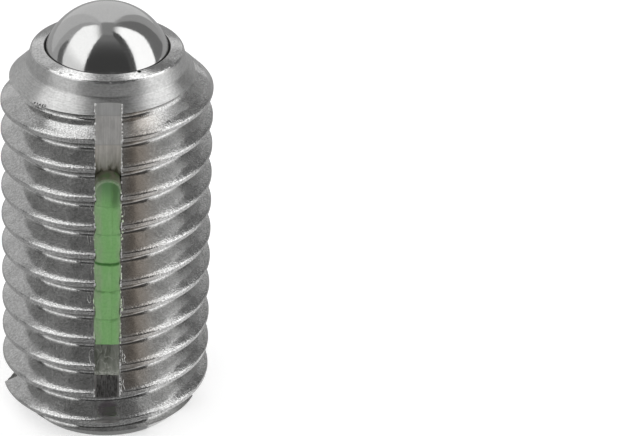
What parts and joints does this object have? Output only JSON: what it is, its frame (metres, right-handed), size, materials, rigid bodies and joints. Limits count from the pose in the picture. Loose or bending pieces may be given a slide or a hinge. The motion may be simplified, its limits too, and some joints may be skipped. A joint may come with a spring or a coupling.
{
  "type": "spring plunger",
  "caption": "Threaded spring plunger with a sprung ball in a rolled nose, a driver slot across the other end and a green locking strip set in a lengthwise groove.",
  "frame": {"origin": "centre of the slotted end face, on the plunger's axis", "axes": "+Z along the axis from the slotted end towards the ball, the locking strip faces -Y within a degree, the driver slot lies 6 degrees from X"},
  "size_m": [0.0098, 0.0098, 0.021],
  "materials": {
    "body_steel": "turned and threaded stainless steel, slightly dull",
    "ball_steel": "polished stainless steel",
    "spring_steel": "drawn stainless spring wire",
    "strip_plastic": "slightly translucent green locking plastic"
  },
  "bodies": {
    "housing": {"threaded_body": "body_steel", "spring": "spring_steel", "thread_lock_strip": "strip_plastic"},
    "ball": {"ball": "ball_steel"}
  },
  "joints": [
    {"name": "ball_press", "type": "slide", "parent": "housing", "child": "ball", "axis": [0, 0, -1], "range_m": [0, 0.002], "stiffness_N_per_m": 4700, "springref_m": -0.0018, "deforming": ["spring"]}
  ]
}
